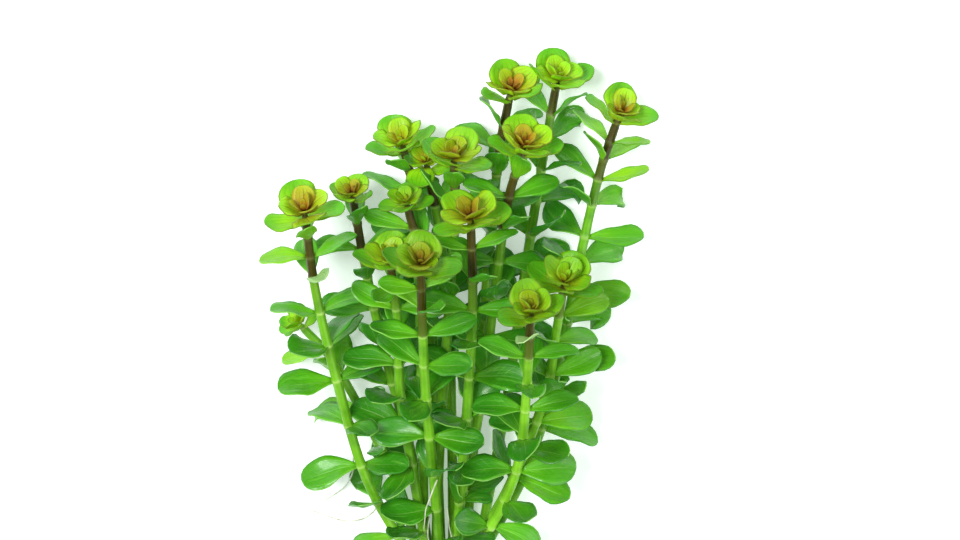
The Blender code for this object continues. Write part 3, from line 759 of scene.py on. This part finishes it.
# The gloss of a stem's leaves and of a crown's petals, their glow (painted light in their own colour,
# standing in for light through the thin blade), how much smoother their pale streaks are, how far one
# leaf may differ from the next, and how much of each colour they take. The pale streaks are painted
# sheen, the lit rim is a painted highlight, and the open side's share is painted light.
skins = {
    "leafSkin": {
        "specular": 0.34, "coat": 0.22, "glow": 0.1, "roughness": 0.34, "smoother": 0.18,
        "tint": 0.12, "streaks": 0.3, "fan": 0.2, "sides": 0.08, "rib": 0.22, "cool": 0.8,
        "base": 0.35, "litRim": 0.38, "darkRim": 0.5, "openSide": 0.34,
    },
    "petalSkin": {
        "specular": 0.24, "coat": 0.05, "glow": 0.14, "roughness": 0.46, "smoother": 0.06,
        "tint": 0.07, "streaks": 0.14, "fan": 0.4, "sides": 0.14, "rib": 0.45, "rim": 0.5,
    },
}
# Side veins from foot to tip and how far they slant, lines that fan from the foot, the midrib's width
# there and how much of it is lost toward the tip, and where the rim begins, across and along.
veins = {"sides": 7.5, "slant": 0.3, "fan": 10.0, "rib": 0.09, "ribLoss": 0.062, "rim": (0.93, 0.965)}
leafGrain = {"patches": 260.0, "grain": 1500.0, "strength": 0.62, "depth": 0.00012}


def leafFinish(name):
    skin, crown = skins[name], name == "petalSkin"
    colours = {label: linear(*rgb) for label, rgb in leafColours.items()}
    # the glow, in the leaf's own colour, is painted light standing in for light through the thin blade
    material, nodes, shader = newFinish(name, {
        "Subsurface Weight": 0.15, "Subsurface Radius": (0.4, 1.0, 0.15), "Subsurface Scale": 0.0006,
        "Specular IOR Level": skin["specular"], "Emission Strength": skin["glow"],
        "Coat Weight": skin["coat"], "Coat Roughness": 0.16,
    })
    place = nodes.add("ShaderNodeTexCoord", out=3)
    across, along, youth, tint = (nodes.read(label) for label in ("across", "along", "youth", "tint"))
    patches = nodes.noise(place, leafGrain["patches"], 3.0)
    grain = nodes.noise(place, leafGrain["grain"], 2.0)
    spread = abs(across)

    ageing = youth + (patches - 0.5) * 0.24 + tint * skin["tint"]
    if crown:
        ageing = ageing + (0.42 - along) * (0.5 - youth * 0.25)
    else:
        # painted light: leaves at the open sides of the bunch are lighter and yellower
        openSide = nodes.read("open")
        ageing = ageing + (0.5 - along) * 0.08
        ageing = ageing + openSide * skin["openSide"] * (1.0 - ageing.step(0.2, 0.56))
    colour = nodes.add("ShaderNodeValToRGB", {"stops": [
        (0.0, colours["deep"]), (0.36, colours["fresh"]), (0.58, colours["bright"]),
        (0.8, colours["gold"]), (1.0, colours["orange"])]}, {"Fac": ageing})

    # painted sheen: pale streaks, as of ridges catching the light, run along the blade, others on each
    # leaf; the same streaks are also smoother and raised
    blade = nodes.add("ShaderNodeCombineXYZ", {}, {0: across * 2.4, 1: along * 1.2, 2: tint * 9.0})
    streaks = nodes.noise(blade, 1.7, 2.5)
    colour = nodes.blend(streaks.step(0.54, 0.72) * skin["streaks"], colour, colours["sheen"])

    # side veins leave the rib toward the tip
    uneven = patches - 0.5
    side = abs(((along - spread * veins["slant"] + uneven * 0.05) * veins["sides"] * math.pi).sine())
    sideVein = (1.0 - side.step(0.0, 0.22)) * (1.0 - spread.step(0.55, 0.95)) * along.step(0.02, 0.2)
    ribWidth = veins["rib"] - along * veins["ribLoss"]
    rib = (1.0 - (spread / ribWidth).step(0.35, 1.0)) * (1.0 - along.step(0.7, 1.0))
    fan = abs((across * veins["fan"] + uneven * 3.0).sine())
    fanVein = (1.0 - fan.step(0.0, 0.4)) * along.step(0.05, 0.2) * (1.0 - along.step(0.75, 1.0))
    rim = spread.step(veins["rim"][0], 1.0).most(along.step(veins["rim"][1], 1.0))
    if crown:
        ripe = youth.step(0.5, 0.8)
        veining = fanVein * skin["fan"] + sideVein * skin["sides"]
        colour = nodes.blend(veining, colour, colours["vein"])
        colour = nodes.blend(rib * ripe * skin["rib"], colour, colours["margin"])
        colour = nodes.blend(rim * (skin["rim"] + ripe * 0.28), colour, colours["margin"])
        # the youngest are flushed from the foot, along the rib and fine rays
        reach = 0.4 + youth.step(0.8, 1.0) * 0.45
        flush = (1.0 - (along + uneven * 0.16).step(0.06, reach)) * youth.step(0.6, 0.92)
        rays = abs((across * 11.0 + uneven * 2.0).sine())
        lines = 0.35 + 0.65 * (1.0 - rays.step(0.1, 0.6)).most(rib)
        lines = lines.most(1.0 - along.step(0.1, 0.3))
        colour = nodes.blend(flush * lines, colour, colours["heart"])
        # painted shade: crowns in the middle of the bunch are darkened toward a shade colour
        colour = nodes.blend(nodes.read("dim"), colour, colours["dusk"])
    else:
        coolness = (patches.step(0.42, 0.72) * 0.4 + along.step(0.3, 1.0) * 0.5) * (0.7 + tint * 0.4)
        # painted light: at the open sides the leaves are also less cool
        coolness = coolness * (1.0 - openSide * 0.5)
        colour = nodes.blend(coolness * skin["cool"], colour, colours["cool"])
        colour = nodes.blend((1.0 - along.step(0.0, 0.5)) * skin["base"], colour, colours["base"])
        colour = nodes.blend(fanVein * skin["fan"], colour, colours["cool"])
        colour = nodes.blend(sideVein * skin["sides"], colour, colours["rib"])
        colour = nodes.blend(rib * (skin["rib"] + tint * 0.1), colour, colours["rib"])
        # one side of a leaf catches the light at its edge, the other is dark
        lit = (across * 4.0 + tint * 3.0).step(-0.6, 0.6)
        colour = nodes.blend(rim * lit * skin["litRim"], colour, colours["rim"])
        colour = nodes.blend(rim * (1.0 - lit) * skin["darkRim"], colour, colours["cool"])
        # painted sheen: the leaves that face the light are paler, more so along the pale streaks
        colour = nodes.blend(nodes.read("pale") * (0.75 + streaks * 0.5), colour, colours["pale"])
    roughness = skin["roughness"] + grain * 0.14 - streaks.step(0.5, 0.7) * skin["smoother"]
    relief = grain * 0.25 - rib * 0.9 - sideVein * 0.35 - fanVein * 0.3 + patches * 0.9 + streaks * 1.2
    dress(nodes, shader, colour, roughness, relief, leafGrain)
    return material


stemColours = {
    "lime": (134, 202, 42), "shade": (66, 130, 14), "brown": (54, 26, 8), "olive": (74, 62, 12),
    "node": (196, 222, 130), "pith": (214, 226, 160),
}
stemGrain = {"patches": 200.0, "streaks": 8.0, "strength": 0.4, "depth": 0.00012}


def stemFinish():
    colours = {label: linear(*rgb) for label, rgb in stemColours.items()}
    # the faint glow, in the stem's own colour, is painted light standing in for light through its skin
    material, nodes, shader = newFinish("stemSkin", {
        "Subsurface Weight": 0.2, "Subsurface Radius": (0.6, 1.0, 0.2), "Subsurface Scale": 0.0008,
        "Specular IOR Level": 0.35, "Emission Strength": 0.06,
    })
    around, down, brown = (nodes.read(label) for label in ("around", "down", "brown"))
    place = nodes.add("ShaderNodeTexCoord", out=3)
    patches = nodes.noise(place, stemGrain["patches"], 3.0)
    streak = abs((around * stemGrain["streaks"] * math.pi + patches * 3.0).sine())
    # darker by the stem's own patches and streaks, and by its painted shade, set for each stem
    darker = patches.step(0.35, 0.65) * 0.3 + streak * 0.14 + nodes.read("dim")
    colour = nodes.blend(darker, colours["lime"], colours["shade"])
    dark = nodes.blend(streak * 0.5 + patches.step(0.4, 0.7) * 0.3, colours["brown"], colours["olive"])
    colour = nodes.blend(brown * 0.95, colour, dark)
    colour = nodes.blend(nodes.read("ring") * (0.5 - brown * 0.35), colour, colours["node"])
    colour = nodes.blend(nodes.read("cut").step(0.6, 1.0) * 0.8, colour, colours["pith"])
    relief = streak * 0.6 + patches * 0.5 + (down * 9.0 + patches * 4.0).sine() * 0.08
    dress(nodes, shader, colour, 0.32 + patches * 0.12, relief, stemGrain)
    return material


rootColours = {"pale": (206, 209, 192), "dusty": (164, 170, 138)}
rootGrain = {"patches": 400.0, "strength": 0.3, "depth": 0.0001}


def rootFinish():
    pale, dusty = (linear(*rgb) for rgb in rootColours.values())
    material, nodes, shader = newFinish("rootSkin", {
        "Subsurface Weight": 0.3, "Subsurface Radius": (1.0, 1.0, 0.8), "Subsurface Scale": 0.0005})
    patches = nodes.noise(nodes.add("ShaderNodeTexCoord", out=3), rootGrain["patches"], 2.0)
    colour = nodes.blend(patches.step(0.4, 0.7), pale, dusty)
    dress(nodes, shader, colour, 0.3 + patches * 0.2, patches, rootGrain)
    return material


def keep(piece, nodeName):
    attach(piece, "root")
    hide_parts(nodeName)


# Every leaf comes from one tree, and the stems and roots from the other.
leafMaker, stalkMaker = leafTree(), stalkTree()
leafSkin, petalSkin = leafFinish("leafSkin"), leafFinish("petalSkin")
stemSkin, rootSkin = stemFinish(), rootFinish()

shootLook = {
    "Rows": 12, "Columns": 7, "Widest": 0.63, "Foot": 1.2, "Petiole": 0.18, "Cup": 0.22,
    "Groove": 0.12, "Ripple": 0.11, "Twist": 0.62, "Sway": 0.66, "Wave": 0.2, "thickness": 0.24,
}
count = 0
for name in stems:
    leaves = shootLeaves(name)
    count += len(leaves)
    source = spineMesh("spines_" + name, leaves)
    keep(grown("leaves_" + name, source, leafMaker, shootLook, leafSkin), "shoot_" + name)
print(count, "leaves on the stems")

petalLook = {
    "Rows": 12, "Columns": 9, "Petiole": 0.3, "Cup": 0.15, "Groove": 0.08, "Ripple": 0.09,
    "Twist": 0.22, "Sway": 0.3, "Wave": 0.12, "thickness": 0.22,
}
count = 0
for name in stems:
    leaves = crownLeaves(name)
    count += len(leaves)
    source = spineMesh("petalSpines_" + name, leaves, dimness.get(name, 0.0))
    keep(grown("petals_" + name, source, leafMaker, petalLook, petalSkin), "crown_" + name)
print(count, "leaves in the crowns")

# The heart of a crown is its youngest leaves, upright round its core.
heart = {
    # length, width of length, pitch, arch, height on the core, youth
    "rows": ((5.2, 0.96, 50, 10, 3.3, 0.88), (4.1, 0.88, 62, 8, 3.6, 0.95),
             (2.4, 0.6, 74, 0, 3.8, 1.02)),
    "spread": (0.9, 1.1), "turnSpread": 22.0, "pitchSpread": 12.0, "frontOpening": 18.0,
    "coreTop": 3.9, "coreRadius": 0.45, "footOut": 0.35,
}
heartLook = {
    "Rows": 10, "Columns": 7, "Petiole": 0.4, "Cup": 0.12, "Groove": 0.1, "Ripple": 0.06,
    "Twist": 0.25, "Sway": 0.25, "Wave": 0.1, "thickness": 0.2,
}


def heartLeaves(name):
    size, turn, _ = stems[name]["crown"]
    base, up = crownAxis(name)
    leaves = []
    for row, (length, wide, pitch, arch, height, youth) in enumerate(heart["rows"]):
        for side in range(2):
            rng = random.Random(f"heart {name} {row} {side}")
            spread = rng.uniform(-heart["turnSpread"], heart["turnSpread"])
            out = turned(up, turn + 90 * (row + 1) + 180 * side + spread)
            long = length * size * rng.uniform(*heart["spread"])
            foot = base + up * height * size + out * heart["footOut"]
            rise = pitch + rng.uniform(-heart["pitchSpread"], heart["pitchSpread"])
            rise -= heart["frontOpening"] * max(0.0, out.z)
            spine = leafSpine(foot, out, up, long, rise, arch, 0.0)
            look = {"youth": warmed(name, youth), "tint": rng.uniform(-1, 1)}
            leaves.append((spine, long * wide, look))
    return leaves


for name in stems:
    source = spineMesh("heartSpines_" + name, heartLeaves(name), dimness.get(name, 0.0))
    keep(grown("heart_" + name, source, leafMaker, heartLook, petalSkin), "crown_" + name)
print("hearts of the crowns")

stalk = {
    # a point every so many mm, how much a node swells, and how far (mm) its swelling and pale ring go
    "step": 0.5, "swell": 0.16, "swellSpan": 0.5, "ringSpan": 0.28,
    # how far (mm) the brown fades, and how much of its edge goes by whole internodes
    "fade": 4.5, "wholeInternodes": 0.85,
    # how much painted shade darkens a stem below the lightest, for each stem and for those named
    "dimness": 0.33, "dimOf": {"02": 0.46, "03": 0.0, "07": 0.2},
}
stalkLook = {"Sides": 12}


def stalkLine(name):
    # points from the crown's heart to the cut end, with thickness, node rings and browning
    data, path = stems[name], Path(stems[name])
    size = data["crown"][0]
    _, along = path.at(path.top)
    foot, up = crownAxis(name)
    coreTop = heart["coreTop"] * size
    nodes = [height for height, _ in data["pairs"]]
    nodes += [path.top + rosette["gap"] + height * size for *_, height in rosette["rows"]]
    ends = [path.top + coreTop, *nodes, path.end]
    count = int((path.top + coreTop - path.end) / stalk["step"])
    points, layers = [], {}
    for i in range(count + 1):
        height = path.top + coreTop + (path.end - path.top - coreTop) * i / count
        depth = path.top - height
        if height > path.top:
            rise = height - path.top - rosette["gap"]
            place = foot + up * rise if rise > 0 else foot + along * rise
            radius = between((neck["tipRadius"], heart["coreRadius"] * size), -depth / coreTop)
        else:
            place, _ = path.at(height)
            radius = stemRadius(height, path.top)
        near = min(abs(height - other) for other in nodes)
        swell = stalk["swell"] * math.exp(-(near / stalk["swellSpan"]) ** 2)
        # the brown goes down by whole internodes, so it is read partly at the middle of each
        upper = min([end for end in ends if end >= height], default=height)
        lower = max([end for end in ends if end < height], default=height)
        edge = between((depth, path.top - (upper + lower) / 2), stalk["wholeInternodes"])
        fading = clamped((edge - data["brown"] + stalk["fade"]) / (2 * stalk["fade"]))
        points.append(place)
        for label, value in {
            "thick": radius * (1 + swell) * mm, "ring": math.exp(-(near / stalk["ringSpan"]) ** 2),
            "brown": 1 - fading if data["brown"] else 0.0, "down": depth, "cut": float(i == count),
            "dim": stalk["dimOf"].get(name, stalk["dimness"]),
        }.items():
            layers.setdefault(label, []).append(value)
    return points, layers


for name in stems:
    source = lineMesh("line_" + name, *stalkLine(name))
    keep(grown("stem_" + name, source, stalkMaker, stalkLook, stemSkin), "shoot_" + name)
print("stems")

rootPlan = {"radius": 0.19, "tip": 0.07, "lineSteps": 8, "wander": 0.12, "waves": 15}
rootLook = {"Sides": 7}
for name, route in roots.items():
    points, thick = smoothLine([Vector(p) for p in route], rootPlan["lineSteps"]), []
    phase = random.Random(name).uniform(0, 6)
    for i, point in enumerate(points):
        share = i / (len(points) - 1)
        point.x += rootPlan["wander"] * math.sin(share * rootPlan["waves"] + phase) * share
        thick.append(between((rootPlan["radius"], rootPlan["tip"]), share ** 2) * mm)
    source = lineMesh("line_" + name, points, {"thick": thick})
    pieceName = name.replace("root_", "rootlet_")
    keep(grown(pieceName, source, stalkMaker, rootLook, rootSkin), name)
print("roots")

studio = {
    "floor": (236, 243, 240), "glow": 0.4, "floorSize": 3.0, "world": 0.37,
    "key": {"power": 8.6, "size": 0.4, "place": (-0.35, 0.35, 0.75)},
    "fill": {"power": 3.8, "size": 0.8, "place": (0.5, -0.15, 0.6)},
}


def makeFloor():
    mesh = bpy.data.meshes.new("floor")
    s = studio["floorSize"]
    mesh.from_pydata([(-s, -s, 0), (s, -s, 0), (s, s, 0), (-s, s, 0)], [], [(0, 1, 2, 3)])
    floor = bpy.data.objects.new("floor", mesh)
    bpy.context.scene.collection.objects.link(floor)
    paper, *_ = newFinish("paper", {
        "Roughness": 0.8, "Base Color": linear(*studio["floor"]),
        "Emission Color": linear(*studio["floor"]), "Emission Strength": studio["glow"]})
    mesh.materials.append(paper)


def makeLight(name, plan):
    data = bpy.data.lights.new(name, "AREA")
    data.energy, data.shape, data.size = plan["power"], "DISK", plan["size"]
    light = bpy.data.objects.new(name, data)
    light.location = plan["place"]
    light.rotation_euler = (-Vector(plan["place"])).to_track_quat("-Z", "Y").to_euler()
    bpy.context.scene.collection.objects.link(light)


makeFloor()
makeLight("key", studio["key"])
makeLight("fill", studio["fill"])
world = bpy.data.worlds.new("studio")
world.use_nodes = True
background = world.node_tree.nodes["Background"]
background.inputs["Color"].default_value = (1, 1, 1, 1)
background.inputs["Strength"].default_value = studio["world"]
bpy.context.scene.world = world
print("floor and light")
